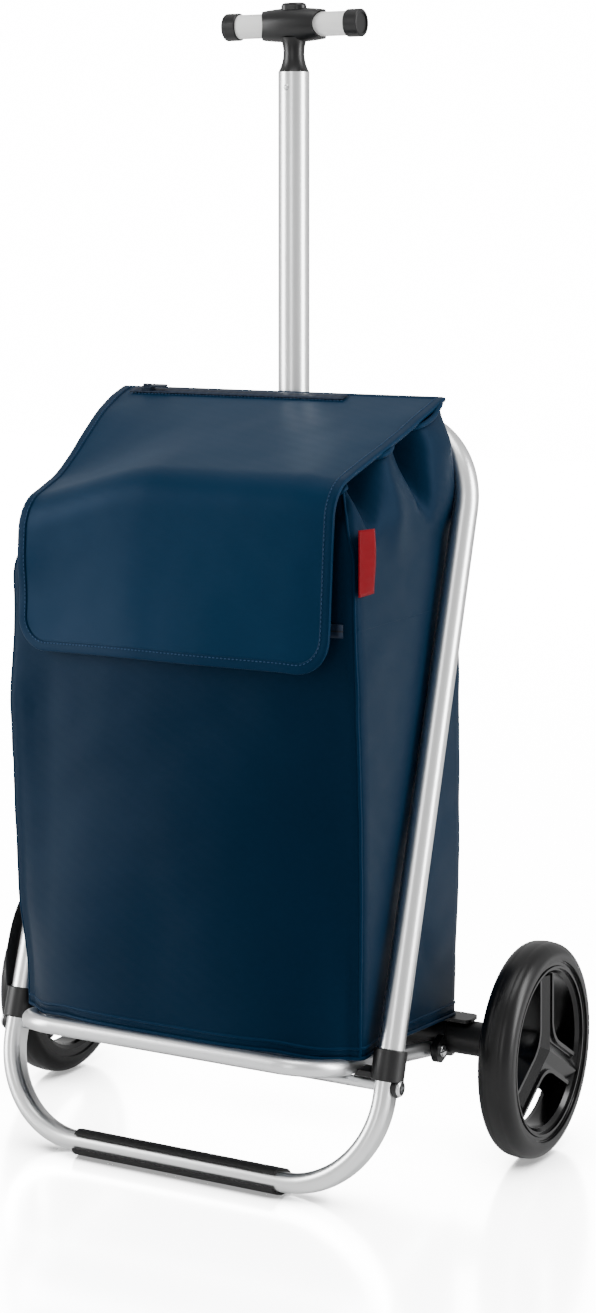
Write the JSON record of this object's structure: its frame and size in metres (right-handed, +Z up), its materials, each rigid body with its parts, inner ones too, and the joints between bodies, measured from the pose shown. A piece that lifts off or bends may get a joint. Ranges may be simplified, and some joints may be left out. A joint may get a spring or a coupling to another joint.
{
  "type": "shopping trolley",
  "caption": "Two-wheeled shopping trolley with a telescoping T-handle, slanting tube frame that folds, hinged platform ring and a soft navy bag with a flap.",
  "frame": {"origin": "middle of the footprint on the ground, under the centre of the bounding box", "axes": "+Z up, the bag and its flap face -Y, +X is to the right seen from the front"},
  "size_m": [0.513, 0.314, 0.99],
  "materials": {
    "satin_aluminium": "satin anodised, fine draw lines along the tube",
    "grip_tube": "satin white lacquer",
    "black_plastic": "satin moulded black",
    "black_rubber": "matt black",
    "tyre_rubber": "satin black",
    "rim_plastic": "satin-gloss moulded black",
    "black_metal": "black powder coat",
    "steel": "bright zinc",
    "screw": "polished",
    "navy_fabric": "navy coated twill",
    "flap_fabric": "navy coated twill",
    "zip_tape": "navy reverse coil zip",
    "zip_metal": "navy enamel",
    "red_tag": "woven red ribbon, plain",
    "webbing": "black webbing"
  },
  "bodies": {
    "chassis": {"outer_tube": "satin_aluminium", "tube_collar": "black_plastic", "head_bracket": "black_plastic", "mast_foot": "black_plastic", "axle_housing": "black_metal", "axle": "steel", "ledge_plate": "black_metal", "axle_bush_left": "black_plastic", "axle_bush_right": "black_plastic", "axle_washer_left": "steel", "axle_washer_right": "steel", "ring_ear_left": "black_plastic", "ring_ear_right": "black_plastic", "pivot_screw_left": "screw", "pivot_screw_right": "screw", "bag_shell": "navy_fabric", "pocket_zip_tape": "zip_tape", "corner_tag": "red_tag"},
    "mast": {"inner_tube": "satin_aluminium", "glide_plug": "black_plastic", "handle_body": "black_plastic", "handle_rivet": "screw", "handle_tube_left": "grip_tube", "handle_tube_right": "grip_tube", "handle_cap_left": "black_plastic", "handle_cap_right": "black_plastic"},
    "release": {"push_button": "black_plastic", "push_rod": "steel"},
    "brake": {"brake_shoe": "black_rubber"},
    "front_frame": {"side_tube_left": "satin_aluminium", "side_tube_right": "satin_aluminium", "clamp_left": "black_plastic", "clamp_right": "black_plastic", "loop_screw_left": "screw", "loop_screw_right": "screw", "foot_loop": "satin_aluminium", "foot_pad": "black_rubber", "cross_bar": "satin_aluminium", "strap_left": "webbing"},
    "platform": {"platform_ring": "satin_aluminium"},
    "flap": {"flap_panel": "flap_fabric", "top_zip_tape": "zip_tape"},
    "top_slider": {"top_zip_slider": "zip_metal"},
    "pocket_slider": {"pocket_zip_slider": "zip_metal"},
    "wheel_left": {"tyre_left": "tyre_rubber", "rim_left": "rim_plastic"},
    "wheel_right": {"tyre_right": "tyre_rubber", "rim_right": "rim_plastic"}
  },
  "joints": [
    {"name": "telescope", "type": "slide", "parent": "chassis", "child": "mast", "axis": [0, 0, 1], "range_m": [-0.27, 0]},
    {"name": "release_press", "type": "slide", "parent": "mast", "child": "release", "axis": [0, 0, -1], "range_m": [0, 0.0035], "stiffness_N_per_m": 700, "springref_m": -0.001},
    {"name": "brake_retract", "type": "slide", "parent": "mast", "child": "brake", "axis": [0, -1, 0], "range_m": [0, 0.0015]},
    {"name": "frame_fold", "type": "hinge", "parent": "chassis", "child": "front_frame", "pos_m": [0, 0.076, 0.621], "axis": [1, 0, 0], "range_deg": [0, 12], "deforming": ["bag_shell"]},
    {"name": "platform_fold", "type": "hinge", "parent": "chassis", "child": "platform", "pos_m": [0, 0.0455, 0.082], "axis": [-1, 0, 0], "range_deg": [0, 75], "deforming": ["bag_shell"]},
    {"name": "wheel_left_spin", "type": "hinge", "parent": "chassis", "child": "wheel_left", "pos_m": [-0.2405, 0.067, 0.09], "axis": [1, 0, 0], "continuous": true},
    {"name": "wheel_right_spin", "type": "hinge", "parent": "chassis", "child": "wheel_right", "pos_m": [0.2405, 0.067, 0.09], "axis": [1, 0, 0], "continuous": true},
    {"name": "flap_open", "type": "hinge", "parent": "chassis", "child": "flap", "pos_m": [0, 0.0585, 0.642], "axis": [-1, 0, 0], "range_deg": [0, 95]},
    {"name": "top_zip", "type": "slide", "parent": "flap", "child": "top_slider", "axis": [1, 0, 0], "range_m": [0, 0.185]},
    {"name": "pocket_zip", "type": "hinge", "parent": "chassis", "child": "pocket_slider", "pos_m": [0, 0.87915, 0.466], "axis": [0, 0, 1], "range_deg": [0, 14.8]}
  ],
  "couplings": [
    {"joint": "platform_fold", "follows": "frame_fold", "ratio": 6.25},
    {"joint": "brake_retract", "follows": "release_press", "ratio": 0.4285}
  ]
}
